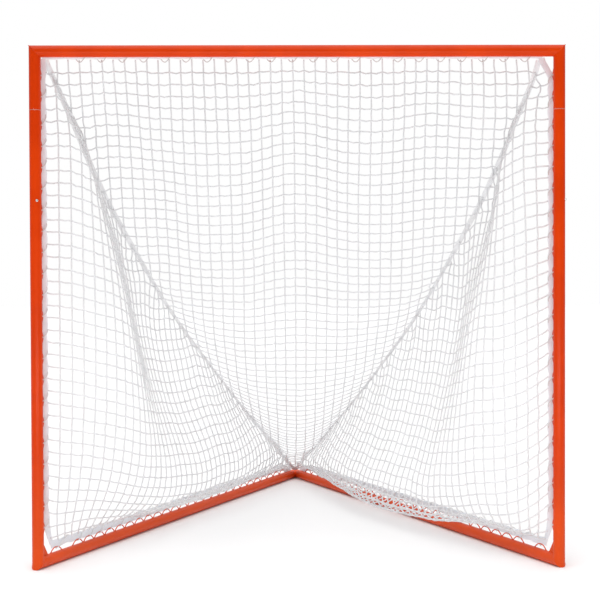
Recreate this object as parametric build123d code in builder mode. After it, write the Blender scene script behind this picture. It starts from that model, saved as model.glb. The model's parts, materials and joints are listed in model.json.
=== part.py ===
from build123d import *
import os
from math import atan2, cos, degrees, hypot, pi, radians, sin, sqrt, tan

# Lacrosse goal, in millimetres. The origin is on the ground, midway between the posts.
# +Z is up, the mouth faces -Y and the apex of the ground rails lies towards +Y.

# Driving dimensions of the frame
mouth_width = 1828.8      # between the posts
mouth_height = 1828.8     # ground to the underside of the crossbar
goal_depth = 2133.6       # post centres to the point where the rails' centre lines meet
tube_od = 42.2
tube_wall = 2.6
weld_gap = 0.05           # left between curved faces that are welded together

# Slip joint between the top section and the posts
joint_height = 1641.0
joint_gap = 0.3
sleeve_above = 60.0       # length welded inside the stub
sleeve_below = 372.0      # length that slides into the post
sleeve_wall = 2.0
sleeve_clearance = 0.3

# Snap buttons
button_below_joint = 322.0
button_r = 4.75
button_hole_clearance = 0.25
button_proud = 4.5        # how far the head stands out of the post
button_dome = 3.0
button_flange_r = 6.5
button_flange_t = 1.2
button_turn = 134.3       # from the rail's direction round to the button, the same way on both frames
leaf_thickness = 1.0
leaf_width = 9.0
leaf_drop = 44.0          # button centre to the bend of the spring
leaf_rise = 8.0

# Foot and apex
gusset_thickness = 5.0
gusset_along_rail = 38.0
gusset_up_post = 60.0
apex_gap = 0.2
bolt_r = 4.0
bolt_hole_r = 4.5
bolt_before_apex = 25.0   # from the meeting point of the centre lines
washer_r = 10.0
washer_rim = 1.5          # washer's thickness where its edge comes nearest the tube
hex_flats = 13.0
head_thickness = 5.3
nut_thickness = 6.5
bolt_end = 4.0

# Lacing hoops: a row of bent wire arches
hoop_pitch = 76.2
hoop_height = 20.0
hoop_wire_r = 2.0
hoop_spacing_gap = 0.5
hoop_end_margin = 15.0
first_rail_hoop = 115.0   # from the post's centre line
rail_run_start = 221.0    # where the unbroken run on the rail begins
rail_run_end_margin = 110.0

# Net, webbing, tapes and lacing
seat_gap = 0.3            # between a soft piece and what carries it
tape_width = 25.0
tape_thickness = 2.5
tape_drop = 1.0           # crossbar tape's top edge, below the hoops' wire
post_tape_inset = 11.4    # tape's inner edge, inside the post's inner side
net_thickness = 6.0
net_steps = 6             # spans of the net's solids along the seams
seam_inset = 21.4         # the seam's top end, inside the post's inner side
seam_sag_y = 150.0        # sideways view: how far the seam hangs in front of its chord
seam_sag_z = 205.0        # and below it
belly = 180.0             # how far the back panel hangs below the line between its seams
belly_at_top = 3.0
side_bulge = 25.0         # how far a side panel leans into the goal
webbing_width = 28.0
webbing_thickness = 3.0
webbing_gap = 2.0
net_apex_setback = 58.0   # net's rear point, in front of the rails' meeting point
back_panel_end = 0.94     # share of the seam's length where the back panel is gathered
side_panel_start = 0.08
lace_r = 1.5
lace_corner = 2.1         # bend of the lacing round a tape's edge

# Derived sizes
tube_r = tube_od / 2
bore_r = tube_r - tube_wall
post_x = mouth_width / 2 + tube_r
crossbar_z = mouth_height + tube_r
rail_z = tube_r
rail_turn = atan2(post_x, goal_depth)
rail_length = hypot(post_x, goal_depth)
sleeve_r = bore_r - sleeve_clearance
sleeve_bore_r = sleeve_r - sleeve_wall
button_z = joint_height - button_below_joint
button_top = tube_r + button_proud
flange_top = sqrt(sleeve_bore_r**2 - button_flange_r**2) - seat_gap / 2
flange_base = flange_top - button_flange_t
hoop_crest = hoop_height + weld_gap
tape_near = hoop_crest + seat_gap             # hoop's tube to the near face of a flat tape
lace_reach = lace_r + seat_gap

net_top_y = tube_r + tape_near + tape_thickness / 2
crossbar_tape_z = crossbar_z - tape_width / 2 - hoop_wire_r - tape_drop
net_top_z = crossbar_tape_z - tape_width / 2 - 2 * (lace_r + seat_gap)
rail_tape_z = tube_od + tape_near + tape_width / 2
net_foot_z = rail_tape_z + tape_width / 2 + seat_gap
net_apex_y = goal_depth - net_apex_setback
seam_x = mouth_width / 2 - seam_inset
post_tape_inner = mouth_width / 2 - post_tape_inset
post_tape_y = cos(rail_turn) * (tube_r + hoop_crest - hoop_wire_r) + hoop_wire_r + seat_gap


def toward_apex(side):
    """The level direction in which the rail on one side runs, -1 left and 1 right."""
    return Vector(-side * sin(rail_turn), cos(rail_turn), 0)


def across_rail(side):
    return Vector(cos(rail_turn), side * sin(rail_turn), 0)


def rail_plane(side, along):
    """Square to the rail, on its centre line, a distance along it from the post's centre."""
    start = Vector(side * post_x, 0, rail_z) + toward_apex(side) * along
    return Plane(origin=start, x_dir=across_rail(side), z_dir=toward_apex(side))


def side_plane(side):
    """Upright plane through the post and its rail: x runs along the rail and y up."""
    return Plane(origin=(side * post_x, 0, 0), x_dir=toward_apex(side), z_dir=across_rail(side))


def mitre_plane(side):
    """The 45 degree plane of a top corner; the stub lies on its upper side."""
    return Plane(origin=(side * post_x, 0, crossbar_z), x_dir=(0, 1, 0), z_dir=(side, 0, -1))


def foot_plane(side):
    """The 45 degree plane where post and rail are mitred; the rail lies on its upper side."""
    square_off = toward_apex(side) - Vector(0, 0, 1)
    return Plane(origin=(side * post_x, 0, rail_z), x_dir=across_rail(side), z_dir=square_off)


def button_plane(side):
    """Square to the snap button, on the post's centre line."""
    turn = degrees(atan2(toward_apex(side).Y, toward_apex(side).X)) - button_turn
    facing = (cos(radians(turn)), sin(radians(turn)), 0)
    return Plane(origin=(side * post_x, 0, button_z), x_dir=(0, 0, 1), z_dir=facing)


def save(piece, name):
    piece.label = name
    export_step(piece, f"parts/{name}.step")


os.makedirs("parts", exist_ok=True)
sides = {"left": -1, "right": 1}

# Crossbar
with BuildPart() as crossbar:
    with BuildSketch(Plane.YZ.offset(-post_x - tube_r)):
        with Locations((0, crossbar_z)):
            Circle(tube_r)
            Circle(bore_r, mode=Mode.SUBTRACT)
    extrude(amount=2 * (post_x + tube_r))
    for side in sides.values():
        split(bisect_by=mitre_plane(side), keep=Keep.BOTTOM)
save(crossbar.part, "crossbar_tube")

for name, side in sides.items():
    # Top section: mitred stub and the sleeve welded inside it
    with BuildPart() as stub:
        with BuildSketch(Plane.XY.offset(joint_height)):
            with Locations((side * post_x, 0)):
                Circle(tube_r)
                Circle(bore_r, mode=Mode.SUBTRACT)
        extrude(amount=crossbar_z + tube_r - joint_height)
        split(bisect_by=mitre_plane(side), keep=Keep.TOP)
    save(stub.part, f"{name}_corner_stub")

    with BuildPart() as sleeve:
        with BuildSketch(Plane.XY.offset(joint_height - sleeve_below)):
            with Locations((side * post_x, 0)):
                Circle(sleeve_r)
                Circle(sleeve_bore_r, mode=Mode.SUBTRACT)
        extrude(amount=sleeve_below + sleeve_above)
        with BuildSketch(button_plane(side)):
            Circle(button_r + button_hole_clearance)
        extrude(amount=tube_od, mode=Mode.SUBTRACT)
    save(sleeve.part, f"{name}_joint_sleeve")

    # Post, mitred to the rail at its foot
    with BuildPart() as post:
        with BuildSketch(Plane.XY):
            with Locations((side * post_x, 0)):
                Circle(tube_r)
                Circle(bore_r, mode=Mode.SUBTRACT)
        extrude(amount=joint_height - joint_gap)
        split(bisect_by=foot_plane(side), keep=Keep.BOTTOM)
        with BuildSketch(button_plane(side)):
            Circle(button_r + button_hole_clearance)
        extrude(amount=tube_od, mode=Mode.SUBTRACT)
    save(post.part, f"{name}_post_tube")

    # Ground rail, mitred at both ends and drilled for the bolt
    with BuildPart() as rail:
        with BuildSketch(rail_plane(side, -tube_r)):
            Circle(tube_r)
            Circle(bore_r, mode=Mode.SUBTRACT)
        extrude(amount=rail_length + 2 * tube_od)
        split(bisect_by=foot_plane(side), keep=Keep.TOP)
        apex_cut = Plane(origin=(side * apex_gap / 2, 0, 0), x_dir=(0, 1, 0), z_dir=(side, 0, 0))
        split(bisect_by=apex_cut, keep=Keep.TOP)
        with BuildSketch(Plane.YZ):
            with Locations((goal_depth - bolt_before_apex, rail_z)):
                Circle(bolt_hole_r)
        extrude(amount=2 * tube_od, both=True, mode=Mode.SUBTRACT)
    save(rail.part, f"{name}_ground_rail")

    with BuildPart() as gusset:
        corner = (tube_r + weld_gap, tube_od + weld_gap)
        with BuildSketch(side_plane(side)):
            with BuildLine():
                Polyline(
                    corner,
                    (corner[0] + gusset_along_rail, corner[1]),
                    (corner[0], corner[1] + gusset_up_post),
                    close=True,
                )
            make_face()
        extrude(amount=gusset_thickness / 2, both=True)
    save(gusset.part, f"{name}_foot_gusset")

    # Snap button and its leaf spring, inside the sleeve
    with BuildPart() as button:
        with BuildSketch(button_plane(side).offset(flange_base)):
            Circle(button_flange_r)
        extrude(amount=button_flange_t)
        with BuildSketch(button_plane(side).offset(flange_base)):
            Circle(button_r)
        extrude(amount=button_top - flange_base)
        facing = Axis(button_plane(side).origin, button_plane(side).z_dir)
        fillet(button.edges().sort_by(facing)[-1], button_dome)
    save(button.part, f"{name}_snap_button")

    with BuildPart() as leaf:
        press = button_plane(side)
        across = Plane(origin=press.origin, x_dir=press.z_dir, z_dir=press.z_dir.cross(press.x_dir))
        near_leg = flange_base - leaf_thickness / 2 - weld_gap
        far_leg = -sqrt(sleeve_bore_r**2 - (leaf_width / 2) ** 2) + leaf_thickness / 2 + seat_gap
        with BuildSketch(across):
            with BuildLine():
                Polyline(
                    (near_leg, leaf_rise),
                    (near_leg, -leaf_rise),
                    (leaf_thickness, -leaf_drop),
                    (-3 * leaf_thickness, -leaf_drop),
                    (far_leg, leaf_rise),
                )
            trace(line_width=leaf_thickness)
        extrude(amount=leaf_width / 2, both=True)
    save(leaf.part, f"{name}_leaf_spring")

# Bolt through both rails at the apex, with saddle washers that fit the tubes
bolt_y = goal_depth - bolt_before_apex
tube_face_x = bolt_before_apex * tan(rail_turn) + tube_r / cos(rail_turn)
washer_face_x = tube_face_x + washer_r * tan(rail_turn) + washer_rim
for name, side in sides.items():
    with BuildPart() as washer:
        with BuildSketch(Plane.YZ):
            with Locations((bolt_y, rail_z)):
                Circle(washer_r)
                Circle(bolt_hole_r, mode=Mode.SUBTRACT)
        extrude(amount=side * washer_face_x)
        with BuildSketch(rail_plane(side, 0)):
            Circle(tube_r + weld_gap)
        extrude(amount=rail_length + 2 * tube_od, mode=Mode.SUBTRACT)
        inner_cut = Plane(origin=(side * tube_r / 2, 0, 0), x_dir=(0, 1, 0), z_dir=(side, 0, 0))
        split(bisect_by=inner_cut, keep=Keep.TOP)
    save(washer.part, f"{name}_saddle_washer")

with BuildPart() as apex_bolt:
    with BuildSketch(Plane.YZ.offset(-washer_face_x - head_thickness)):
        with Locations((bolt_y, rail_z)):
            RegularPolygon(hex_flats / 2, 6, major_radius=False)
    extrude(amount=head_thickness)
    with BuildSketch(Plane.YZ.offset(-washer_face_x)):
        with Locations((bolt_y, rail_z)):
            Circle(bolt_r)
    extrude(amount=2 * washer_face_x + nut_thickness + bolt_end)
save(apex_bolt.part, "apex_bolt")

with BuildPart() as apex_nut:
    with BuildSketch(Plane.YZ.offset(washer_face_x)):
        with Locations((bolt_y, rail_z)):
            RegularPolygon(hex_flats / 2, 6, major_radius=False)
            Circle(bolt_r + weld_gap, mode=Mode.SUBTRACT)
    extrude(amount=nut_thickness)
save(apex_nut.part, "apex_nut")

# One lacing hoop: x along its tube, y out from the tube, its feet cut flat at y = 0
hoop_half = (hoop_pitch - hoop_spacing_gap) / 2 - 1.5 * hoop_wire_r
hoop_rise = hoop_height - hoop_wire_r
hoop_radius = (hoop_half**2 + hoop_rise**2) / (2 * hoop_rise)
hoop_foot = atan2(hoop_radius - hoop_rise, hoop_half)
with BuildPart() as hoop:
    with BuildLine():
        foot_angle = degrees(hoop_foot) - 5
        arc = CenterArc((0, hoop_rise - hoop_radius), hoop_radius, foot_angle, 180 - 2 * foot_angle)
    with BuildSketch(Plane(origin=arc @ 0, z_dir=arc % 0)):
        Circle(hoop_wire_r)
    sweep(path=arc)
    split(bisect_by=Plane.XZ.offset(-weld_gap), keep=Keep.BOTTOM)


def lace_loop(width, height):
    """A closed turn of lacing cord round a tape and a hoop, flat in the plane square to x."""
    with BuildSketch(Plane.YZ) as outline:
        RectangleRounded(width, height, lace_corner)
    path = outline.sketch.wires()[0]
    with BuildPart() as loop:
        with BuildSketch(Plane(origin=path @ 0, z_dir=path % 0)):
            Circle(lace_r)
        sweep(path=path)
    return loop.part


def hoop_places(start, end):
    """Centres of the hoops that fit between two points of a tube, spread evenly about the middle."""
    count = int((end - start) / hoop_pitch)
    middle = (start + end) / 2
    return [middle + (i - (count - 1) / 2) * hoop_pitch for i in range(count)]


def add_rows(name, plane, places, loop, loop_at):
    """The hoops of one tube and the turns of lacing at their crests, as two pieces."""
    with BuildPart() as hoops:
        with Locations(*[plane.location * Location((u, 0, 0)) for u in places]):
            add(hoop.part)
    save(hoops.part, f"{name}_lacing_hoops")
    with BuildPart() as lacing:
        with Locations(*[plane.location * Location((u, *loop_at)) for u in places]):
            add(loop)
    save(lacing.part, f"{name}_lacing_cord")


# A turn of lacing goes through the hoop under its wire and behind the tape
loop_inner = hoop_height - 2 * hoop_wire_r - lace_reach
flat_loop = lace_loop(
    tape_near + tape_thickness + lace_reach - loop_inner,
    tape_width + tape_drop + 2 * hoop_wire_r + 2 * lace_reach,
)
edge_loop = lace_loop(tape_near + tape_width + lace_reach - loop_inner, 2 * (hoop_wire_r + lace_reach))

# Crossbar: hoops on the rear of the tube
crossbar_row = Plane(origin=(0, tube_r, crossbar_z), x_dir=(1, 0, 0), z_dir=(0, 0, 1))
flat_middle = (loop_inner + tape_near + tape_thickness + lace_reach) / 2
flat_drop = -(tape_width + tape_drop) / 2
edge_middle = (loop_inner + tape_near + tape_width + lace_reach) / 2
half_mouth = mouth_width / 2 - hoop_end_margin
add_rows(
    "crossbar", crossbar_row, hoop_places(-half_mouth, half_mouth), flat_loop, (flat_middle, flat_drop)
)

for name, side in sides.items():
    # Post and stub: hoops face along the rail
    surface = Vector(side * post_x, 0, 0) + toward_apex(side) * tube_r
    post_row = Plane(origin=surface, x_dir=(0, 0, 1), z_dir=across_rail(side) * -1)
    gusset_top = tube_od + gusset_up_post
    loop_at = (edge_middle, 0)
    post_places = hoop_places(gusset_top, joint_height - hoop_end_margin / 2)
    stub_places = hoop_places(joint_height + hoop_end_margin / 2, mouth_height - hoop_end_margin)
    with BuildPart() as post_hoops:
        with Locations(*[post_row.location * Location((u, 0, 0)) for u in post_places]):
            add(hoop.part)
    save(post_hoops.part, f"{name}_post_lacing_hoops")
    with BuildPart() as stub_hoops:
        with Locations(*[post_row.location * Location((u, 0, 0)) for u in stub_places]):
            add(hoop.part)
    save(stub_hoops.part, f"{name}_stub_lacing_hoops")

    # Rail: hoops on top
    rail_row = Plane(
        origin=(side * post_x, 0, tube_od), x_dir=toward_apex(side), z_dir=across_rail(side)
    )
    run = int((rail_length - rail_run_end_margin - rail_run_start) / hoop_pitch)
    rail_places = [first_rail_hoop]
    rail_places += [rail_run_start + (i + 0.5) * hoop_pitch for i in range(run)]
    add_rows(f"{name}_rail", rail_row, rail_places, edge_loop, loop_at)

# Hem tapes
with BuildPart() as crossbar_tape:
    with BuildSketch(Plane.XY.offset(crossbar_tape_z - tape_width / 2)):
        with Locations((0, net_top_y)):
            Rectangle(2 * post_tape_inner, tape_thickness)
    extrude(amount=tape_width)
save(crossbar_tape.part, "crossbar_hem_tape")

for name, side in sides.items():
    with BuildPart() as post_tape:
        with BuildSketch(Plane.XY.offset(tube_od + gusset_up_post)):
            middle_x = side * (post_tape_inner + (tape_width - tape_thickness) / 2)
            with Locations((middle_x, post_tape_y + tape_thickness / 2)):
                Rectangle(tape_width - tape_thickness, tape_thickness)
        extrude(amount=crossbar_tape_z + tape_width / 2 - tube_od - gusset_up_post)
    save(post_tape.part, f"{name}_post_hem_tape")

    with BuildPart() as rail_tape:
        start = first_rail_hoop - hoop_half
        end = rail_length - rail_run_end_margin
        with BuildSketch(side_plane(side)):
            with Locations(((start + end) / 2, rail_tape_z)):
                Rectangle(end - start, tape_width)
        extrude(amount=tape_thickness / 2, both=True)
    save(rail_tape.part, f"{name}_rail_hem_tape")


# Net: the two seams hang between the top corners and the apex
net_top = Vector(0, net_top_y, net_top_z)
net_apex = Vector(0, net_apex_y, net_foot_z)
chord = (net_apex - net_top).normalized()


def seam_point(t, side):
    """A point of a seam, t being 0 at the top corner and 1 at the apex."""
    sag = sin(pi * t)
    level = net_top + (net_apex - net_top) * t
    return level + Vector(side * seam_x * (1 - t), -seam_sag_y * sag, -seam_sag_z * sag)


def section_plane(t):
    """Square to the chord; x runs across the goal and y towards the mouth and down."""
    return Plane(origin=seam_point(t, 0), x_dir=(1, 0, 0), z_dir=chord)


def strip(points, thickness, offset=(0, 1)):
    """The closed outline of a bent strip that is as thick as asked in the offset's direction."""
    moved = [(x + offset[0] * thickness, y + offset[1] * thickness) for x, y in points]
    return points + moved[::-1]


back_steps = [back_panel_end * i / net_steps for i in range(net_steps + 1)]
across_steps = [i / 2 - 1 for i in range(5)]
with BuildPart() as back_net:
    for t in back_steps:
        half = seam_x * (1 - t) - webbing_width / 2 - webbing_gap
        drop = belly * sin(pi * t) + belly_at_top
        with BuildSketch(section_plane(t)):
            with BuildLine():
                curve = [(u * half, drop * (1 - u**2)) for u in across_steps]
                Polyline(*strip(curve, net_thickness), close=True)
            make_face()
    loft(ruled=True)
save(back_net.part, "back_net_panel")

side_steps = [side_panel_start + (1 - side_panel_start) * i / net_steps for i in range(net_steps + 1)]
for name, side in sides.items():
    with BuildPart() as seam:
        for t in back_steps:
            with BuildSketch(section_plane(t)):
                with Locations((side * seam_x * (1 - t), 0)):
                    Rectangle(webbing_width, webbing_thickness)
        loft(ruled=True)
    save(seam.part, f"{name}_seam_webbing")

    with BuildPart() as side_net:
        for t in side_steps:
            end = seam_point(t, side) + Vector(side * webbing_width / 2, -webbing_width / 2, 0)
            start = Vector(side * (post_tape_inner - seat_gap), post_tape_y, end.Z)
            reach = end - start
            inward = Vector(-side * reach.Y, side * reach.X, 0).normalized()
            lean = side_bulge * sin(pi * (t + side_panel_start) / (1 + 2 * side_panel_start))
            middle = [start, start + reach * 0.5 + inward * lean, end]
            with BuildSketch(Plane.XY.offset(end.Z)):
                with BuildLine():
                    line = [(p.X, p.Y) for p in middle]
                    Polyline(*strip(line, net_thickness, (inward.X, inward.Y)), close=True)
                make_face()
        loft(ruled=True)
    save(side_net.part, f"{name}_net_panel")
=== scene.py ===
import json
import math

import bmesh
import bpy
import numpy as np
from mathutils import Matrix, Vector


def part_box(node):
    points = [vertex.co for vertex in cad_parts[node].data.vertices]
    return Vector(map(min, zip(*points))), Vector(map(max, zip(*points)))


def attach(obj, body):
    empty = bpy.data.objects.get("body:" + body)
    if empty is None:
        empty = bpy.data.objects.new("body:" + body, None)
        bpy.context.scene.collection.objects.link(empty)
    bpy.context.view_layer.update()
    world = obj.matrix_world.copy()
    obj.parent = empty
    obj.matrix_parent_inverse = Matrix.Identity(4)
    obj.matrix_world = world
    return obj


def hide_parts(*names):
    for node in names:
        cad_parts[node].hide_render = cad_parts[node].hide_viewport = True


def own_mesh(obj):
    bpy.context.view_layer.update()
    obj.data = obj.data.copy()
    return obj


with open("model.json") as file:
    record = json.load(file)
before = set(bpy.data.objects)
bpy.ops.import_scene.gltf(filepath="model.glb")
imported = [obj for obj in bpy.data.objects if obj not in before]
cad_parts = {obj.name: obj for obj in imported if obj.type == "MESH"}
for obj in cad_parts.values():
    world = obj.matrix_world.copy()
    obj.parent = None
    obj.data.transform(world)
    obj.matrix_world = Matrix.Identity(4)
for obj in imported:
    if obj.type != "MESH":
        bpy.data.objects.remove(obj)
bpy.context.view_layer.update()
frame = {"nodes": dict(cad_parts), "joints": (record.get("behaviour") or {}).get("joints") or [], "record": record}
nodes = frame["nodes"]
SIDES = {"left": -1, "right": 1}

# Sizes of the cord, tape and welds, in metres
MESH = 0.04445            # knot to knot along the net's cord
CORD_R = 0.0029
KNOT_R = 0.0039
LACE_R = 0.00185
BAR_TAPE_W = 0.025
RAIL_TAPE_W = 0.027
TAPE_T = 0.0024
WEBBING_W = 0.021
WEBBING_T = 0.003
STITCH = 0.0052           # one stitch to the next along a seam
STITCH_INSET = 0.0032     # tape's edge to its row of stitches
THREAD_R = 0.0009
BEAD_R = 0.0015
GUSSET_BEAD_R = 0.0018
HOOP_BLOB_R = 0.0034      # weld at each foot of a lacing hoop
HOOP_PITCH = 0.0762
HOOP_HALF_SPAN = 0.0363   # hoop's crest to its foot, along the tube
GOAL_DEPTH = 2.1336       # goal line to where the middles of the rails meet


# ---------------------------------------------------------------- node trees

class Wire:
    """One socket of a node tree. Arithmetic on wires adds the Math nodes that work it out."""

    def __init__(self, tree, socket=None):
        self.tree, self.socket = tree, socket

    def node(self, kind, settings=None, sockets=None, out=0):
        """A node of any other type: its settings are made first, then its sockets are filled."""
        made = self.tree.nodes.new(kind)
        for name, value in (settings or {}).items():
            setattr(made, name, value)
        for name, value in (sockets or {}).items():
            entry = made.inputs[name]
            for one in value if isinstance(value, list) else [value]:
                if isinstance(one, Wire):
                    self.tree.links.new(one.socket, entry)
                else:
                    entry.default_value = one
        return Wire(self.tree, made.outputs[out] if len(made.outputs) else None)

    def also(self, name):
        """Another output of the node that this wire comes from."""
        return Wire(self.tree, self.socket.node.outputs[name])

    def maths(self, operation, *values):
        return self.node("ShaderNodeMath", {"operation": operation}, dict(enumerate(values)))

    def __add__(self, other): return self.maths("ADD", self, other)
    def __radd__(self, other): return self.maths("ADD", other, self)
    def __sub__(self, other): return self.maths("SUBTRACT", self, other)
    def __rsub__(self, other): return self.maths("SUBTRACT", other, self)
    def __mul__(self, other): return self.maths("MULTIPLY", self, other)
    def __rmul__(self, other): return self.maths("MULTIPLY", other, self)
    def __truediv__(self, other): return self.maths("DIVIDE", self, other)
    def __rtruediv__(self, other): return self.maths("DIVIDE", other, self)
    def __pow__(self, other): return self.maths("POWER", self, other)
    def __neg__(self): return self.maths("MULTIPLY", self, -1.0)
    def __abs__(self): return self.maths("ABSOLUTE", self)
    def sine(self): return self.maths("SINE", self)

    def rise(self, low, high):
        """0 below low, 1 above high, and smooth in between."""
        return self.node(
            "ShaderNodeMapRange",
            {"interpolation_type": "SMOOTHSTEP"},
            {"Value": self, "From Min": low, "From Max": high},
        )

    def colour(self, low, high):
        """The colour low where this wire is 0, and high where it is 1."""
        low, high = [c if isinstance(c, Wire) else (*c, 1) for c in (low, high)]
        factor, first, second, result = 0, 6, 7, 2      # a Mix node's sockets for colours
        sockets = {factor: self, first: low, second: high}
        return self.node("ShaderNodeMix", {"data_type": "RGBA"}, sockets, out=result)

    def parts(self):
        """The three numbers of a vector."""
        split = self.node("ShaderNodeSeparateXYZ", sockets={0: self})
        return split, split.also("Y"), split.also("Z")

    def noise(self, scale, detail=2.0, roughness=0.5):
        return self.node(
            "ShaderNodeTexNoise",
            sockets={"Vector": self, "Scale": scale, "Detail": detail, "Roughness": roughness},
        )

    def bumped(self, strength, distance, normal=None):
        sockets = {"Height": self, "Strength": strength, "Distance": distance}
        if normal:
            sockets["Normal"] = normal
        return self.node("ShaderNodeBump", sockets=sockets)


def finish_named(name):
    """A new material with its shader, and wires to start its pattern from."""
    material = bpy.data.materials.new(name)
    material.use_nodes = True
    tree = material.node_tree
    shader = next(n for n in tree.nodes if n.type == "BSDF_PRINCIPLED")
    start = Wire(tree)
    place = start.node("ShaderNodeTexCoord", out="Object")
    return material, shader, place


def wire_up(shader, **sockets):
    """Links a wire, or sets a number or colour, on the shader's own sockets."""
    for name, value in sockets.items():
        entry = shader.inputs[name.replace("_", " ")]
        if isinstance(value, Wire):
            value.tree.links.new(value.socket, entry)
        else:
            entry.default_value = value


# ---------------------------------------------------------------- finishes

def powder_coat(joint_height, ground_band):
    """Orange powder coat: fine orange peel, faint mottling, lighter towards the ground with painted light from the
    floor and dusty there, and rubbed to bare metal where the two sections of a post slip together."""
    material, shader, place = finish_named("orange_powder_coat_finish")
    up = place.parts()[2]
    mottle = place.noise(7.0, 3.0)
    cast = mottle.rise(0.35, 0.68)
    paint = cast.colour((0.63, 0.037, 0.0003), (0.70, 0.045, 0.0004))
    specks = place.noise(260.0, 2.0, 0.7).rise(0.70, 0.78)
    paint = (specks * 0.3).colour(paint, (0.90, 0.13, 0.012))
    low = 1.0 - up.rise(0.0, ground_band)
    dust = low * place.noise(90.0, 5.0, 0.7).rise(0.40, 0.80)
    # Lighter orange towards the ground: a smooth band of painted light from the floor, with patches of real dust
    # on top
    paint = (low * 0.30 + dust * 0.12).colour(paint, (0.88, 0.14, 0.030))
    off_joint = abs(up - joint_height)
    rubbed = (1.0 - off_joint.rise(0.0003, 0.0010)) * 0.75
    chip = (1.0 - off_joint.rise(0.001, 0.005)) * place.noise(420.0, 2.0, 0.6).rise(0.62, 0.68)
    bare = rubbed.maths("MAXIMUM", rubbed, chip)
    scratch = place.noise(55.0, 6.0, 0.75).rise(0.66, 0.70) * 0.10
    peel = place.noise(520.0, 1.5, 0.5) * 0.7 + place.noise(150.0, 1.0) * 0.3
    wire_up(
        shader,
        Base_Color=bare.colour(paint, (0.72, 0.70, 0.66)),
        Metallic=bare * 0.85,
        Roughness=0.30 + mottle * 0.10 + dust * 0.25 + scratch,
        Coat_Weight=0.13 - dust * 0.1,
        Normal=(peel - bare * 0.3).bumped(0.35, 0.0004),
        Coat_Roughness=0.16,
        Specular_Tint=(1.0, 0.55, 0.30, 1),
        Specular_IOR_Level=0.2,
    )
    return material


def zinc_plate():
    """Bright zinc plating with fine drawn lines and a faint yellow cast."""
    material, shader, place = finish_named("zinc_plated_steel_finish")
    cloud = place.noise(90.0, 3.0, 0.6)
    lines = place.noise(1400.0, 2.0, 0.6)
    spots = place.noise(700.0, 3.0, 0.7).rise(0.62, 0.72)
    wire_up(
        shader,
        Base_Color=cloud.colour((0.60, 0.61, 0.62), (0.80, 0.79, 0.74)),
        Metallic=1.0,
        Roughness=0.20 + cloud * 0.16 + spots * 0.15,
        Normal=lines.bumped(0.25, 0.0002),
    )
    return material


def follow(place):
    """Wires to a cord's or tape's own pattern: its run, and its place across the section."""
    run = place.node("ShaderNodeAttribute", {"attribute_name": "run"}, out="Fac")
    ring = place.node("ShaderNodeAttribute", {"attribute_name": "ring"}, out="Vector")
    across, through, _ = ring.parts()
    return run, across, through


def braid(name, strand, pale, shade, grime_and_shade):
    """Braided white cord: two sets of strands that cross round it, with fuzz and a little grime.
    It is painted greyer higher up: painted shade, where less light comes back from the ground."""
    material, shader, place = finish_named(name)
    run, across, through = follow(place)
    turn = run * (2 * math.pi / strand)
    s, c = turn.sine(), (turn + math.pi / 2).sine()
    one_way = abs(across * c - through * s)
    other_way = abs(across * c + through * s)
    crown = one_way.maths("MAXIMUM", one_way, other_way)
    fuzz = place.noise(2600.0, 2.0, 0.7)
    soiled = place.noise(11.0, 4.0, 0.6).rise(0.42, 0.78)
    painted_shade_up_high = place.parts()[2].rise(0.5, 1.9)
    thread = crown.rise(0.62, 1.0).colour(shade, pale)
    # Greyer with real grime in patches, and with painted shade that grows with height
    thread = (soiled * 0.18 + painted_shade_up_high * 0.42).colour(thread, grime_and_shade)
    wire_up(
        shader,
        Base_Color=(fuzz * 0.25).colour(thread, (0.95, 0.95, 0.95)),
        Roughness=0.72 + fuzz * 0.2,
        Normal=(crown * 0.8 + fuzz * 0.2).bumped(0.7, 0.0006),
        Sheen_Weight=0.25,
        Sheen_Roughness=0.5,
        Specular_IOR_Level=0.3,
    )
    return material


def woven_tape(name, half_width, pale, shade):
    """White polyester tape: ribs along it, weft across it, tighter at both selvedges."""
    material, shader, place = finish_named(name)
    run, across, through = follow(place)
    weft_pitch, warp_pitch = 0.0021, 0.0016
    weft = (run * (2 * math.pi / weft_pitch)).sine()
    warp = (across * (2 * math.pi * half_width / warp_pitch)).sine()
    weave = weft * warp
    selvedge = abs(across).rise(0.84, 0.90)
    fuzz = place.noise(1900.0, 2.0, 0.7)
    soiled = place.noise(9.0, 4.0, 0.6).rise(0.45, 0.80)
    cloth = (weave * 0.5 + 0.5).colour(shade, pale)
    cloth = (soiled * 0.22).colour(cloth, (0.60, 0.58, 0.55))
    wire_up(
        shader,
        Base_Color=(selvedge * 0.35).colour(cloth, (0.88, 0.88, 0.88)),
        Roughness=0.68 + fuzz * 0.2,
        Normal=(weave * 0.4 + fuzz * 0.25 + selvedge * 0.35).bumped(0.6, 0.0005),
        Sheen_Weight=0.2,
        Specular_IOR_Level=0.3,
    )
    return material


def thread_finish():
    """White sewing thread."""
    material, shader, place = finish_named("sewing_thread_finish")
    fuzz = place.noise(3000.0, 2.0, 0.6)
    wire_up(
        shader,
        Base_Color=fuzz.colour((0.74, 0.74, 0.75), (0.93, 0.93, 0.93)),
        Roughness=0.6 + fuzz * 0.25,
        Normal=fuzz.bumped(0.4, 0.0003),
    )
    return material


def floor_finish():
    """Plain pale floor with a trace of cloud."""
    material, shader, place = finish_named("pale_floor_finish")
    cloud = place.noise(0.7, 2.0)
    wire_up(
        shader,
        Base_Color=cloud.colour((0.93, 0.93, 0.93), (0.95, 0.95, 0.95)),
        Roughness=0.85 + cloud * 0.05,
        Specular_IOR_Level=0.1,
    )
    return material


# ---------------------------------------------------------------- geometry trees

KINDS = {float: "NodeSocketFloat", int: "NodeSocketInt", bpy.types.Material: "NodeSocketMaterial"}


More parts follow.
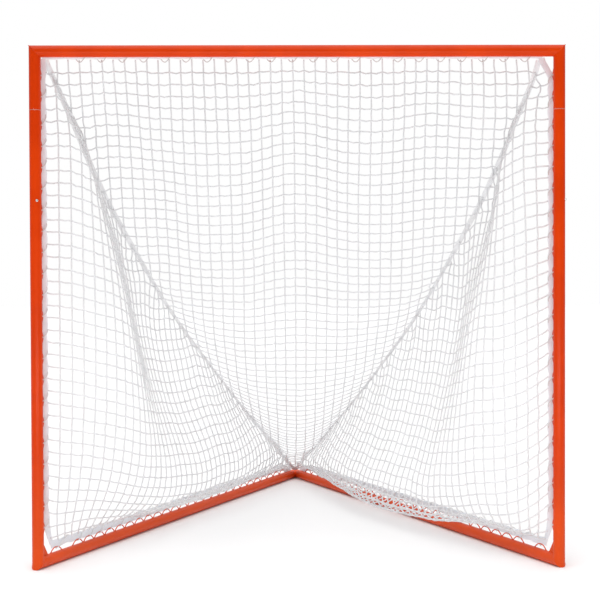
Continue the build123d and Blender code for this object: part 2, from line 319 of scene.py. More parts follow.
def tree_named(name, **inputs):
    """A geometry tree with its named inputs, and the wire that its geometry comes in by."""
    tree = bpy.data.node_groups.new(name, "GeometryNodeTree")
    tree.interface.new_socket(name="Geometry", in_out="OUTPUT", socket_type="NodeSocketGeometry")
    tree.interface.new_socket(name="Geometry", in_out="INPUT", socket_type="NodeSocketGeometry")
    for label, kind in inputs.items():
        label = label.replace("_", " ")
        tree.interface.new_socket(name=label, in_out="INPUT", socket_type=KINDS[kind])
    return tree, Wire(tree).node("NodeGroupInput", out="Geometry")


def close_tree(shape, material):
    """Ends a tree: real geometry, smooth faces and the finish."""
    shape = shape.node("GeometryNodeRealizeInstances", sockets={"Geometry": shape})
    shape = shape.node("GeometryNodeSetShadeSmooth", sockets={"Geometry": shape})
    shape = shape.node("GeometryNodeSetMaterial", sockets={"Geometry": shape, "Material": material})
    shape.node("NodeGroupOutput", sockets={"Geometry": shape})


def apply_tree(piece, tree, **inputs):
    """Runs a tree on a piece's own mesh, and leaves its result there as a plain mesh."""
    modifier = piece.modifiers.new(tree.name, "NODES")
    modifier.node_group = tree
    sockets = [item for item in tree.interface.items_tree if item.in_out == "INPUT"]
    keys = {socket.name: socket.identifier for socket in sockets}
    for label, value in inputs.items():
        modifier[keys[label.replace("_", " ")]] = value
    depsgraph = bpy.context.evaluated_depsgraph_get()
    made = bpy.data.meshes.new_from_object(
        piece.evaluated_get(depsgraph), preserve_all_data_layers=True, depsgraph=depsgraph
    )
    piece.modifiers.remove(modifier)
    made.name = piece.name
    piece.data = made
    return piece


def smooth_curve(paths):
    """The bare paths as curves that run smoothly through their points."""
    curve = paths.node("GeometryNodeMeshToCurve", sockets={"Mesh": paths})
    return curve.node(
        "GeometryNodeCurveSplineType", {"spline_type": "CATMULL_ROM"}, {"Curve": curve}
    )


def fine_curve(paths):
    """The same, divided as finely as the tree's smoothness says."""
    curve = smooth_curve(paths)
    return curve.node(
        "GeometryNodeSetSplineResolution",
        sockets={"Geometry": curve, "Resolution": paths.also("Smoothness")},
    )


def lying(curve):
    """Keeps a tape's flat side where the path's lie says."""
    lie = curve.node(
        "GeometryNodeInputNamedAttribute", {"data_type": "FLOAT_VECTOR"}, {"Name": "lie"}
    )
    return curve.node(
        "GeometryNodeSetCurveNormal", {"mode": "FREE"}, {"Curve": curve, "Normal": lie}
    )


def with_run(curve):
    """Stores each point's distance along its cord."""
    run = curve.node("GeometryNodeSplineParameter", out="Length")
    return curve.node(
        "GeometryNodeStoreNamedAttribute",
        {"data_type": "FLOAT", "domain": "POINT"},
        {"Geometry": curve, "Name": "run", "Value": run},
    )


def with_ring(profile, place):
    """Stores each point's place in the section, from -1 to 1 both ways."""
    return profile.node(
        "GeometryNodeStoreNamedAttribute",
        {"data_type": "FLOAT_VECTOR", "domain": "POINT"},
        {"Geometry": profile, "Name": "ring", "Value": place},
    )


def cord_tree():
    """Round cord along every path, smooth through its points and open at its ends."""
    tree, paths = tree_named(
        "cord_along_paths", Cord_Radius=float, Sides=int, Smoothness=int, Finish=bpy.types.Material
    )
    curve = with_run(fine_curve(paths))
    radius = paths.also("Cord Radius")
    ring = paths.node(
        "GeometryNodeCurvePrimitiveCircle",
        {"mode": "RADIUS"},
        {"Resolution": paths.also("Sides"), "Radius": radius},
    )
    scale = paths.node("ShaderNodeCombineXYZ", sockets={0: radius, 1: radius, 2: 1.0})
    place = paths.node("GeometryNodeInputPosition")
    ring = with_ring(
        ring, place.node("ShaderNodeVectorMath", {"operation": "DIVIDE"}, {0: place, 1: scale})
    )
    shape = curve.node(
        "GeometryNodeCurveToMesh", sockets={"Curve": curve, "Profile Curve": ring, "Scale": 1.0}
    )
    close_tree(shape, paths.also("Finish"))
    return tree


def knot_tree():
    """A small round knot, a little flattened, where the net's cords cross."""
    tree, points = tree_named(
        "knots_at_crossings", Knot_Radius=float, Seed=int, Finish=bpy.types.Material
    )
    ball = points.node(
        "GeometryNodeMeshIcoSphere",
        sockets={"Radius": points.also("Knot Radius"), "Subdivisions": 1},
    )
    turn = points.node(
        "FunctionNodeRandomValue",
        {"data_type": "FLOAT_VECTOR"},
        {0: (0.0, 0.0, 0.0), 1: (3.1, 3.1, 3.1), "Seed": points.also("Seed")},
    )
    turned = points.node("FunctionNodeEulerToRotation", sockets={0: turn})
    shape = points.node(
        "GeometryNodeInstanceOnPoints",
        sockets={"Points": points, "Instance": ball, "Rotation": turned, "Scale": (1.0, 0.9, 0.8)},
    )
    close_tree(shape, points.also("Finish"))
    return tree


def tape_tree():
    """Flat tape along every path, with rounded edges."""
    tree, paths = tree_named(
        "tape_along_paths", Width=float, Thickness=float, Smoothness=int, Finish=bpy.types.Material
    )
    width, thickness = paths.also("Width"), paths.also("Thickness")
    curve = lying(with_run(fine_curve(paths)))
    profile = paths.node(
        "GeometryNodeCurvePrimitiveQuadrilateral",
        {"mode": "RECTANGLE"},
        {"Width": thickness, "Height": width},
    )
    profile = profile.node(
        "GeometryNodeFilletCurve",
        {"mode": "POLY"},
        {"Curve": profile, "Count": 2, "Radius": thickness * 0.45},
    )
    x, y, _ = profile.node("GeometryNodeInputPosition").parts()
    place = profile.node(
        "ShaderNodeCombineXYZ", sockets={0: y / (width * 0.5), 1: x / (thickness * 0.5)}
    )
    profile = with_ring(profile, place)
    shape = curve.node(
        "GeometryNodeCurveToMesh",
        sockets={"Curve": curve, "Profile Curve": profile, "Scale": 1.0, "Fill Caps": True},
    )
    close_tree(shape, paths.also("Finish"))
    return tree


def stitch_tree():
    """Rows of stitches along both edges of a tape, on both of its faces."""
    tree, paths = tree_named(
        "stitches_along_tape",
        Half_Spread=float,
        Lift=float,
        Spacing=float,
        Finish=bpy.types.Material,
    )
    curve = lying(smooth_curve(paths))
    points = curve.node(
        "GeometryNodeCurveToPoints",
        {"mode": "LENGTH"},
        {"Curve": curve, "Length": paths.also("Spacing")},
    )
    thread = paths.node(
        "GeometryNodeMeshIcoSphere", sockets={"Radius": THREAD_R, "Subdivisions": 1}
    )
    rows = []
    for edge in (-1.0, 1.0):
        for face in (-1.0, 1.0):
            row = points.node(
                "GeometryNodeInstanceOnPoints",
                sockets={
                    "Points": points,
                    "Instance": thread,
                    "Rotation": points.also("Rotation"),
                    "Scale": (0.55, 0.62, 1.9),
                },
            )
            shift = paths.node(
                "ShaderNodeCombineXYZ",
                sockets={0: paths.also("Lift") * face, 1: paths.also("Half Spread") * edge},
            )
            rows.append(
                row.node(
                    "GeometryNodeTranslateInstances",
                    sockets={"Instances": row, "Translation": shift, "Local Space": True},
                )
            )
    shape = paths.node("GeometryNodeJoinGeometry", sockets={"Geometry": rows})
    close_tree(shape, paths.also("Finish"))
    return tree


def bead_tree():
    """Weld bead along every path, with the ripples of its passes."""
    tree, paths = tree_named(
        "weld_bead_along_paths",
        Bead_Radius=float,
        Ripple=float,
        Seed=int,
        Finish=bpy.types.Material,
    )
    curve = paths.node("GeometryNodeMeshToCurve", sockets={"Mesh": paths})
    curve = curve.node(
        "GeometryNodeResampleCurve",
        {"mode": "LENGTH"},
        {"Curve": curve, "Length": paths.also("Ripple") * 0.25},
    )
    run = curve.node("GeometryNodeSplineParameter", out="Length")
    wobble = curve.node(
        "FunctionNodeRandomValue",
        {"data_type": "FLOAT"},
        {2: 0.94, 3: 1.06, "Seed": paths.also("Seed")},
        out=1,
    )
    swell = (1.0 + 0.14 * (run * (2 * math.pi) / paths.also("Ripple")).sine()) * wobble
    ring = paths.node(
        "GeometryNodeCurvePrimitiveCircle",
        {"mode": "RADIUS"},
        {"Resolution": 8, "Radius": paths.also("Bead Radius")},
    )
    shape = curve.node(
        "GeometryNodeCurveToMesh",
        sockets={"Curve": curve, "Profile Curve": ring, "Scale": swell, "Fill Caps": True},
    )
    close_tree(shape, paths.also("Finish"))
    return tree


def placed(name, data):
    """A new object in the scene."""
    made = bpy.data.objects.new(name, data)
    bpy.context.scene.collection.objects.link(made)
    return made


def path_mesh(name, paths, lies=None, loops=False):
    """An object whose mesh is the bare paths that a tree follows."""
    points = np.concatenate([np.asarray(p, float) for p in paths])
    edges, start = [], 0
    for path in paths:
        n = len(path)
        edges += [(start + i, start + i + 1) for i in range(n - 1)]
        if loops:
            edges.append((start + n - 1, start))
        start += n
    mesh = bpy.data.meshes.new(name)
    mesh.from_pydata(points.tolist(), edges, [])
    if lies is not None:
        lie = mesh.attributes.new("lie", "FLOAT_VECTOR", "POINT")
        lie.data.foreach_set("vector", np.concatenate(lies).astype(np.float32).ravel())
    return placed(name, mesh)


def merged(name, pieces):
    """Joins finished plain meshes into one piece."""
    bpy.ops.object.select_all(action="DESELECT")
    for piece in pieces:
        piece.select_set(True)
    bpy.context.view_layer.objects.active = pieces[0]
    bpy.ops.object.join()
    pieces[0].name = pieces[0].data.name = name
    return pieces[0]


# ---------------------------------------------------------------- places on the frame

def vertices(node):
    """A CAD node's points."""
    mesh = nodes[node].data
    found = np.zeros(len(mesh.vertices) * 3)
    mesh.vertices.foreach_get("co", found)
    return found.reshape(-1, 3)


def crests(node, along, outward):
    """Where each hoop of a row has its crest, along the row."""
    points = vertices(node)
    out = points @ outward
    near = points[out > out.max() - 0.0035]
    runs = np.sort(near @ along)
    groups = np.split(runs, np.where(np.diff(runs) > 0.02)[0] + 1)
    return [(g.min() + g.max()) / 2 for g in groups]


tube_r = (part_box("crossbar_tube")[1].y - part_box("crossbar_tube")[0].y) / 2
post_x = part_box("right_post_tube")[1].x - tube_r
bar_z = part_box("crossbar_tube")[1].z - tube_r
rail_z = tube_r
joint_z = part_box("left_corner_stub")[0].z
rail_way = {
    s: np.array([-s * post_x, GOAL_DEPTH, 0.0]) / math.hypot(post_x, GOAL_DEPTH)
    for s in SIDES.values()
}
across_way = {s: np.array([rail_way[s][1], -rail_way[s][0], 0.0]) for s in SIDES.values()}
X, Y, UP = np.array([1.0, 0, 0]), np.array([0, 1.0, 0]), np.array([0.0, 0.0, 1.0])
bar_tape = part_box("crossbar_hem_tape")
bar_tape_y = (bar_tape[0].y + bar_tape[1].y) / 2
bar_tape_z = (bar_tape[0].z + bar_tape[1].z) / 2
post_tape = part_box("right_post_hem_tape")
rail_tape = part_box("right_rail_hem_tape")
net_foot_z = rail_tape[1].z
net_rear_y = GOAL_DEPTH - 0.058


# ---------------------------------------------------------------- the hanging net

class Net:
    """Cord crossings joined by lengths of cord, let down under their own weight."""

    def __init__(self):
        self.points, self.held, self.links, self.index = [], [], [], {}

    def add(self, key, place, held=False):
        self.index[key] = len(self.points)
        self.points.append(np.array(place, float))
        self.held.append(held)

    def tie(self, a, b, length, stiff=1.0):
        self.links.append((self.index[a], self.index[b], length, stiff))

    def stretch(self, a, b, share):
        """Gives the last length of cord tied between two crossings some more, or less."""
        pair = (self.index[a], self.index[b])
        for k in range(len(self.links) - 1, -1, -1):
            if self.links[k][:2] == pair:
                self.links[k] = (*pair, self.links[k][2] * share, self.links[k][3])
                return

    def at(self, *key):
        return self.points[self.index[key]]


# How the net was cut: -1 is the left side and 1 the right, as in SIDES
HALF_COLUMNS = 22                        # meshes from the back panel's middle to a top corner
ROWS = 62                                # meshes down the back panel
SIDE_ROWS = {-1: 39.5, 1: 41.0}          # meshes down a side panel, at its post
SIDE_COLUMNS = {-1: 51.5, 1: 52.0}       # meshes along a side panel, at its rail
SEAM_LENGTH = {-1: 2.925, 1: 2.828}
SEAM_TOP = {-1: 0.905, 1: 0.870}         # middle of the crossbar to the top of a seam

# Where its hems are held
REAR_Z = 0.047                           # height of the seams' lower end
BAR_LIFT = 0.006                         # how far the top hem is drawn up by its lacing
RAIL_START_Z = 0.078                     # height of the post tape's lower end
CORNER_CUT_Z = 1.74                      # above here the post tape cuts the top corner
FOOT_CUT_Z = 0.2                         # and below here the foot

# How its cord behaves, per step of letting it down
CORD_STIFFNESS = {"back": 0.0008, -1: 0.0012, 1: 0.0006}
CORD_PULL = 0.18
CORD_PUSH = 0.03                         # share of its pull with which slack cord pushes back
DRAG = 0.995
STEP_WEIGHT = -4.0e-7
LENGTH_SPREAD = 0.012
START_SPREAD = 0.004
GROUND_GAP = 0.0045                      # middle of a cord to the ground under it
RAIL_GAP = 0.0042                        # middle of a cord to the face of a rail
STEPS, QUICK_STEPS = 9000, 1500


def bar_hem(x):
    """The net's top edge, which dips between the turns of lacing."""
    dip = 0.0035 * (1 - math.cos(2 * math.pi * x / HOOP_PITCH)) / 2
    return np.array([x, bar_tape_y, bar_tape[0].z + BAR_LIFT - 0.002 - dip])


def front_hem(side, height):
    """The inner edge of the tape on a post: it leaves the post at both ends, to cut the corners."""
    lift = max(0.0, (height - CORNER_CUT_Z) / (bar_tape[0].z - CORNER_CUT_Z))
    inner = post_tape[0].x - (post_tape[0].x - SEAM_TOP[side] + 0.004) * min(1.0, lift) ** 2
    straight = np.array([side * inner, post_tape[1].y, height])
    if height >= FOOT_CUT_Z:
        return straight
    share = (FOOT_CUT_Z - height) / (FOOT_CUT_Z - RAIL_START_Z)
    bend = np.array([side * post_tape[0].x, post_tape[1].y, 0.115])
    corner = np.array([side * post_x, 0.0, RAIL_START_Z]) + rail_way[side] * 0.088
    top = np.array([side * post_tape[0].x, post_tape[1].y, FOOT_CUT_Z])
    return top * (1 - share) ** 2 + bend * 2 * share * (1 - share) + corner * share**2


def post_hem(side, share):
    """A point of the net's front edge, from the top of the post down to the rail."""
    top = bar_hem(side * SEAM_TOP[side])
    if share < 0.012:
        return top
    return front_hem(side, top[2] * (1 - share) + net_foot_z * share)


def rear_drop(share):
    """How far the net's lower edge comes down to the tubes where they meet."""
    return (net_foot_z - REAR_Z) * max(0.0, (min(share, 1.0) - 0.93) / 0.07) ** 1.5


def rail_hem(side, share):
    """A point of the net's lower edge. The net is gathered in places, so its cords aren't even."""
    start, end = post_hem(side, 1.0), np.array([0.0, net_rear_y, net_foot_z])
    drop = rear_drop(share)
    bunch = 0.014 if side < 0 else 0.004
    share = share + bunch * math.sin(2 * math.pi * 5.3 * share) * math.sin(math.pi * share)
    place = start * (1 - share) + end * share
    dip = 0.003 * (1 - math.cos(2 * math.pi * share * 2.2 / HOOP_PITCH)) / 2
    return place - np.array([0, 0, dip + drop])


def rail_spill(side, share):
    """How much spare net lies over the rail: some along the middle of the right rail."""
    return 1.35 * math.exp(-(((share - 0.48) / 0.19) ** 2)) if side > 0 else 0.0


def string_net():
    """Lays out the back panel and both side panels between the seams, before they hang."""
    net = Net()
    end = np.array([0.0, net_rear_y, REAR_Z])
    for s in SIDES.values():
        top = bar_hem(s * SEAM_TOP[s])
        for j in range(ROWS + 1):
            t = j / ROWS
            place = top * (1 - t) + end * t - 0.1 * math.sin(math.pi * t) * UP
            net.add(("seam", s, j), place, j in (0, ROWS))
        for j in range(ROWS):
            net.tie(("seam", s, j), ("seam", s, j + 1), SEAM_LENGTH[s] / ROWS, 4.0)
    half = [HALF_COLUMNS * (1 - j / ROWS) for j in range(ROWS + 1)]
    columns = range(-HALF_COLUMNS, HALF_COLUMNS + 1)
    for j, h in enumerate(half):
        for i in columns:
            if abs(i) < h - 0.15:
                if j == 0:
                    share = (i / HALF_COLUMNS + 1) / 2
                    x = SEAM_TOP[1] * share - SEAM_TOP[-1] * (1 - share)
                    net.add(("back", i, j), bar_hem(x), True)
                    continue
                w = (i + h) / (2 * h)
                sag = np.array([0, 0.05, 0.05]) * math.sin(math.pi * w)
                place = net.at("seam", -1, j) * (1 - w) + net.at("seam", 1, j) * w
                net.add(("back", i, j), place - sag)
    for j, h in enumerate(half):
        row = [i for i in columns if ("back", i, j) in net.index]
        if j == 0 or j == ROWS:
            continue
        if not row:
            net.tie(("seam", -1, j), ("seam", 1, j), 2 * h * MESH)
            continue
        for a, b in zip(row, row[1:]):
            net.tie(("back", a, j), ("back", b, j), MESH)
        net.tie(("seam", -1, j), ("back", row[0], j), (row[0] + h) * MESH)
        net.tie(("back", row[-1], j), ("seam", 1, j), (h - row[-1]) * MESH)
    for i in columns:
        column = [j for j in range(ROWS + 1) if ("back", i, j) in net.index]
        for a, b in zip(column, column[1:]):
            net.tie(("back", i, a), ("back", i, b), MESH)
        if column:
            crossing = ROWS * (1 - abs(i) / HALF_COLUMNS)
            j = min(ROWS, round(crossing))
            if j > column[-1]:
                spare = max(crossing - column[-1], 0.3) * MESH
                net.tie(("back", i, column[-1]), ("seam", -1 if i < 0 else 1, j), spare)
    for s in SIDES.values():
        rows, cols = SIDE_ROWS[s], SIDE_COLUMNS[s]
        for m in range(1, int(rows) + 1):
            for n in range(int(cols) + 1):
                if n < cols * m / rows - 0.15:
                    front = post_hem(s, m / rows)
                    place = front + rail_hem(s, n / cols) - rail_hem(s, 0)
                    net.add(("side", s, n, m), place, n == 0)
        for n in range(int(cols) + 1):
            net.add(("foot", s, n), rail_hem(s, n / cols), True)
        for m in range(1, int(rows) + 1):
            row = [n for n in range(int(cols) + 1) if ("side", s, n, m) in net.index]
            for a, b in zip(row, row[1:]):
                net.tie(("side", s, a, m), ("side", s, b, m), MESH)
            j = round(m / rows * ROWS)
            net.tie(("side", s, row[-1], m), ("seam", s, j), (cols * m / rows - row[-1]) * MESH)
        for n in range(1, int(cols) + 1):
            column = [m for m in range(1, int(rows) + 1) if ("side", s, n, m) in net.index]
            top = rows * n / cols
            j = round(top / rows * ROWS)
            if not column:
                net.tie(("seam", s, j), ("foot", s, n), (rows - top) * MESH)
                continue
            for a, b in zip(column, column[1:]):
                net.tie(("side", s, n, a), ("side", s, n, b), MESH)
            net.tie(("seam", s, j), ("side", s, n, column[0]), (column[0] - top) * MESH)
            spill = rail_spill(s, n / cols)
            for a, b in zip(column[-4:], column[-3:]):
                net.stretch(("side", s, n, a), ("side", s, n, b), 1 + spill * 0.22)
            last = (rows - column[-1] + spill * 0.5) * MESH
            net.tie(("side", s, n, column[-1]), ("foot", s, n), last)
    return net


def let_down(net, chains, steps):
    """Lets the net's weight pull it down until it is at rest on the rails and the ground."""
    at = np.array(net.points)
    held = np.array(net.held)
    a = np.array([link[0] for link in net.links])
    b = np.array([link[1] for link in net.links])
    length = np.array([link[2] for link in net.links])
    stiff = CORD_PULL * np.array([link[3] for link in net.links])
    rng = np.random.default_rng(11)
    length = length * (1 + LENGTH_SPREAD * rng.normal(size=len(length)).clip(-2, 2))
    at += START_SPREAD * rng.normal(size=at.shape) * ~held[:, None]
    weight = np.full(len(at), STEP_WEIGHT)
    weight[[k for key, k in net.index.items() if key[0] == "seam"]] *= 2
    speed = np.zeros_like(at)
    count = len(at)
    along = [[net.index[k] for k in chain] for group in chains.values() for chain in group]
    bends = np.array([t for line in along for t in zip(line, line[1:], line[2:])]).T
    firm = np.concatenate(
        [
            np.full(max(0, len(chain) - 2), CORD_STIFFNESS[key])
            for key in chains
            for chain in chains[key]
        ]
    )[:, None]
    clear_rail = tube_r + RAIL_GAP
    feet = {s: np.array([s * post_x, 0.0, rail_z]) for s in SIDES.values()}
    for step in range(steps):
        gap = at[b] - at[a]
        reach = np.sqrt((gap * gap).sum(1)) + 1e-12
        over = reach - length
        pull = (np.where(over > 0, 1.0, CORD_PUSH) * stiff * over / reach)[:, None] * gap
        force = np.stack(
            [
                np.bincount(a, pull[:, c], count) - np.bincount(b, pull[:, c], count)
                for c in range(3)
            ],
            1,
        )
        kink = firm * (at[bends[0]] + at[bends[2]] - 2 * at[bends[1]])
        for c in range(3):
            force[:, c] += np.bincount(bends[1], kink[:, c], count)
            force[:, c] -= 0.5 * np.bincount(bends[0], kink[:, c], count)
            force[:, c] -= 0.5 * np.bincount(bends[2], kink[:, c], count)
        speed = (speed + 0.5 * force) * DRAG
        speed[:, 2] += weight
        speed[held] = 0
        at = at + speed
        if step > steps // 4 and step % 3 == 0:
            low = at[:, 2] < GROUND_GAP
            at[low, 2] = GROUND_GAP
            speed[low] *= 0.2
            for s in SIDES.values():
                off = at - feet[s]
                off = off - (off @ rail_way[s])[:, None] * rail_way[s]
                far = np.sqrt((off * off).sum(1)) + 1e-9
                inside = (far < clear_rail) & ~held
                at[inside] += off[inside] / far[inside, None] * (clear_rail - far[inside])[:, None]
                speed[inside] *= 0.3
    return at


def slack_paths(net, at, chains, seed):
    """Each cord as a path through its crossings, bowed between them where it is slack."""
    rng = np.random.default_rng(seed)
    spare = {(a, b): length for a, b, length, _ in net.links}
    spare.update({(b, a): length for (a, b), length in list(spare.items())})
    paths = []
    for chain in chains:
        ids = [net.index[k] for k in chain]
        path = [at[ids[0]]]
        for a, b in zip(ids, ids[1:]):
            gap = np.linalg.norm(at[b] - at[a])
            extra = max(0.0, spare.get((a, b), gap) - gap)
            bow = min(0.45 * math.sqrt(max(0.0, gap * extra)), 0.011)
            lean = 0.6 * rng.normal(size=3)
            lean[2] -= 0.9
            lean /= np.linalg.norm(lean) + 1e-9
            middle = (at[a] + at[b]) / 2 + bow * lean
            middle[2] = max(middle[2], GROUND_GAP)
            path += [middle, at[b]]
        paths.append(np.array(path))
    return paths


def panel_chains(net):
    """The rows and columns of cord in each panel, in order from hem or seam to hem or seam."""
    chains = {"back": [], -1: [], 1: []}
    for j in range(1, ROWS):
        row = [("back", i, j) for i in range(-HALF_COLUMNS, HALF_COLUMNS + 1)]
        row = [k for k in row if k in net.index]
        chains["back"].append([("seam", -1, j), *row, ("seam", 1, j)])
    for i in range(-HALF_COLUMNS, HALF_COLUMNS + 1):
        column = [("back", i, j) for j in range(ROWS + 1) if ("back", i, j) in net.index]
        if column:
            j = min(ROWS, round(ROWS * (1 - abs(i) / HALF_COLUMNS)))
            if j > column[-1][2]:
                column.append(("seam", -1 if i < 0 else 1, j))
            chains["back"].append(column)
    for s in SIDES.values():
        rows, cols = SIDE_ROWS[s], SIDE_COLUMNS[s]
        for m in range(1, int(rows) + 1):
            row = [("side", s, n, m) for n in range(int(cols) + 1)]
            row = [k for k in row if k in net.index]
            chains[s].append([*row, ("seam", s, round(m / rows * ROWS))])
        for n in range(1, int(cols) + 1):
            column = [("side", s, n, m) for m in range(1, int(rows) + 1)]
            column = [k for k in column if k in net.index]
            chains[s].append([("seam", s, round(n / cols * ROWS)), *column, ("foot", s, n)])
    return chains


net = string_net()
chains = panel_chains(net)
hung = let_down(net, chains, STEPS)

coat = powder_coat(joint_z, 0.5)
zinc = zinc_plate()
net_cord = braid(
    "net_cord_finish", 0.0105, pale=(0.93, 0.93, 0.94), shade=(0.74, 0.74, 0.76),
    grime_and_shade=(0.50, 0.50, 0.51),
)
lace_cord = braid(
    "lacing_cord_finish", 0.007, pale=(0.88, 0.88, 0.88), shade=(0.58, 0.58, 0.58),
    grime_and_shade=(0.5, 0.48, 0.45),
)
hem_cloth = woven_tape(
    "hem_tape_finish", BAR_TAPE_W / 2, pale=(0.92, 0.95, 1.0), shade=(0.80, 0.83, 0.88)
)
seam_cloth = woven_tape(
    "seam_webbing_finish", WEBBING_W / 2, pale=(0.93, 0.93, 0.94), shade=(0.76, 0.76, 0.78)
)
thread = thread_finish()

SLOT_FINISH = {"orange_powder_coat": coat, "zinc_plated_steel": zinc}
for part in frame["record"]["subparts"]:
    new = SLOT_FINISH.get(part["material_slot"])
    if new:
        for slot in nodes[part["node"]].material_slots:
            slot.material = new

# Each leaf spring carries its button, so it is a piece of its own
for joint in frame["joints"]:
    name = joint["name"].split("_")[0]
    steel = nodes[f"{name}_leaf_spring"]
    leaf = placed(f"{name}_button_spring", steel.data.copy())
    shell = bmesh.new()
    shell.from_mesh(leaf.data)
    bmesh.ops.remove_doubles(shell, verts=shell.verts, dist=1e-6)
    shell.to_mesh(leaf.data)
    shell.free()
    for own, cut in zip(leaf.material_slots, steel.material_slots):
        own.material = cut.material
    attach(leaf, "goal")
    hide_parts(f"{name}_leaf_spring")
    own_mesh(leaf)

cord_paths, knots = cord_tree(), knot_tree()
tape_paths, stitch_rows, weld_beads = tape_tree(), stitch_tree(), bead_tree()

panels = {}
for key, name, node, seed in (
    ("back", "back_net", "back_net_panel", 3),
    (-1, "left_net", "left_net_panel", 4),
    (1, "right_net", "right_net_panel", 5),
):
    strands = path_mesh(name, slack_paths(net, hung, chains[key], seed))
    apply_tree(strands, cord_paths, Cord_Radius=CORD_R, Sides=5, Smoothness=2, Finish=net_cord)
    wanted = ("back",) if key == "back" else ("side", key)
    crossings = [k for k in net.index if k[:len(wanted)] == wanted]
    points = hung[[net.index[k] for k in crossings]]
    knotted = path_mesh(name + "_knots", [[p] for p in points])
    apply_tree(knotted, knots, Knot_Radius=KNOT_R, Seed=seed, Finish=net_cord)
    panels[key] = merged(name, [strands, knotted])
    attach(panels[key], "goal")
    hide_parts(node)


# ---------------------------------------------------------------- seams, tapes and lacing

def unit(v):
    """Vectors of the same directions, one long."""
    return v / (np.linalg.norm(v, axis=-1, keepdims=True) + 1e-12)


def smoothed(path, times):
    """Evens out a path or a row of directions, and leaves its ends alone."""
    for _ in range(times):
        path[1:-1] = 0.25 * path[:-2] + 0.5 * path[1:-1] + 0.25 * path[2:]
    return path


def sewn(name, node, path, lie, width, thickness, cloth, smooth=2):
    """A tape along a path, with a row of stitches near each of its edges."""
    tape = path_mesh(name, [path], [lie])
    apply_tree(tape, tape_paths, Width=width, Thickness=thickness, Smoothness=smooth, Finish=cloth)
    rows = path_mesh(name + "_stitches", [path], [lie])
    apply_tree(
        rows,
        stitch_rows,
        Half_Spread=width / 2 - STITCH_INSET,
        Lift=thickness / 2,
        Spacing=STITCH,
        Finish=thread,
    )
    tape = merged(name, [tape, rows])
    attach(tape, "goal")
    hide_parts(node)
    return tape


for name, s in SIDES.items():
    line = smoothed(np.array([hung[net.index["seam", s, j]] for j in range(ROWS + 1)]), 2)
    inner = []
    for j in range(ROWS + 1):
        column = math.ceil(HALF_COLUMNS * (1 - j / ROWS)) * s - 2 * s
        inner.append(hung[net.index.get(("back", column, j), net.index["seam", -s, j])])
    way = np.gradient(line, axis=0)
    lie = unit(np.cross(way, np.array(inner) - line))
    lie[-1] = lie[-2]
    lie = unit(smoothed(lie, 6))
    sewn(
        f"{name}_seam_tape", f"{name}_seam_webbing", line, lie, WEBBING_W, WEBBING_T, seam_cloth
    )

x = np.linspace(-SEAM_TOP[-1] - 0.012, SEAM_TOP[1] + 0.012, 140)
dip = 0.0022 * (1 - np.cos(2 * np.pi * x / HOOP_PITCH)) / 2 - 0.0022
wave = 0.0009 * np.sin(2 * np.pi * x / 0.31)
line = np.stack([x, bar_tape_y + wave, bar_tape_z + BAR_LIFT - dip], 1)
lie = np.tile([0.0, 1.0, 0.0], (len(line), 1))
sewn(
    "crossbar_tape", "crossbar_hem_tape", line, lie, BAR_TAPE_W, TAPE_T, hem_cloth
)

for name, s in SIDES.items():
    low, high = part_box(f"{name}_post_hem_tape")
    width = high.x - low.x
    z = np.linspace(RAIL_START_Z, bar_tape_z - 0.004, 124)
    edge = np.array([front_hem(s, h) for h in z])
    turn = np.clip((FOOT_CUT_Z - z) / 0.1, 0, 1)[:, None]
    bow = s * (width / 2 + 0.0022 * np.cos(2 * np.pi * z / HOOP_PITCH) * (1 - turn[:, 0]))
    line = edge + np.stack([bow * (1 - 0.8 * turn[:, 0]), 0 * z - 0.001, 0 * z], 1)
    lie = unit(np.tile([0.0, 1.0, 0.0], (len(z), 1)) * (1 - turn) + across_way[s] * s * turn)
    sewn(
        f"{name}_post_tape", f"{name}_post_hem_tape", line, lie, width, TAPE_T, hem_cloth
    )
    low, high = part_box(f"{name}_rail_hem_tape")
    foot = np.array([s * post_x, 0.0, 0.0])
    run = np.linspace(low.y / rail_way[s][1], (net_rear_y + 0.004) / rail_way[s][1], 175)
    arch = np.cos(2 * np.pi * (run - 0.221 - 0.0381) / HOOP_PITCH)
    drop = np.array([rear_drop(y / net_rear_y) for y in run * rail_way[s][1]])
    rise = (low.z + high.z) / 2 - 0.002 + 0.0022 * arch - drop * 0.75
    line = foot + run[:, None] * rail_way[s] + rise[:, None] * UP
    line += (0.0016 * np.sin(2 * np.pi * run / 0.27))[:, None] * across_way[s]
    lie = np.tile(across_way[s], (len(line), 1))
    sewn(
        f"{name}_rail_tape", f"{name}_rail_hem_tape", line, lie, RAIL_TAPE_W, TAPE_T, hem_cloth
    )


def spiral(crest_runs, centre, along, to_tube, sideways, reach_out, reach_side):
    """Lacing that goes once round tape and hoop at each crest, and on to the next along the row."""
    path = []
    turns = []
    for here, there in zip(crest_runs, crest_runs[1:]):
        count = 12 if there - here < 0.1 else 16
        for k in range(count):
            turns.append((here + (there - here) * k / count, 2 * math.pi * k / count))
    turns.append((crest_runs[-1], 0.0))
    for run, angle in turns:
        off = to_tube * reach_out * math.cos(angle) + sideways * reach_side * math.sin(angle)
        path.append(centre + along * run + off)
    return np.array(path)


def laced(name, path, node=None):
    """A lacing cord along its path, with a small stopper knot at each end."""
    cord = path_mesh(name, [path])
    apply_tree(cord, cord_paths, Cord_Radius=LACE_R, Sides=7, Smoothness=3, Finish=lace_cord)
    ends = path_mesh(name + "_knots", [[path[0]], [path[-1]]])
    apply_tree(ends, knots, Knot_Radius=LACE_R * 2.3, Seed=8, Finish=lace_cord)
    cord = merged(name, [cord, ends])
    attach(cord, "goal")
    if node:
        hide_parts(node)
    return cord


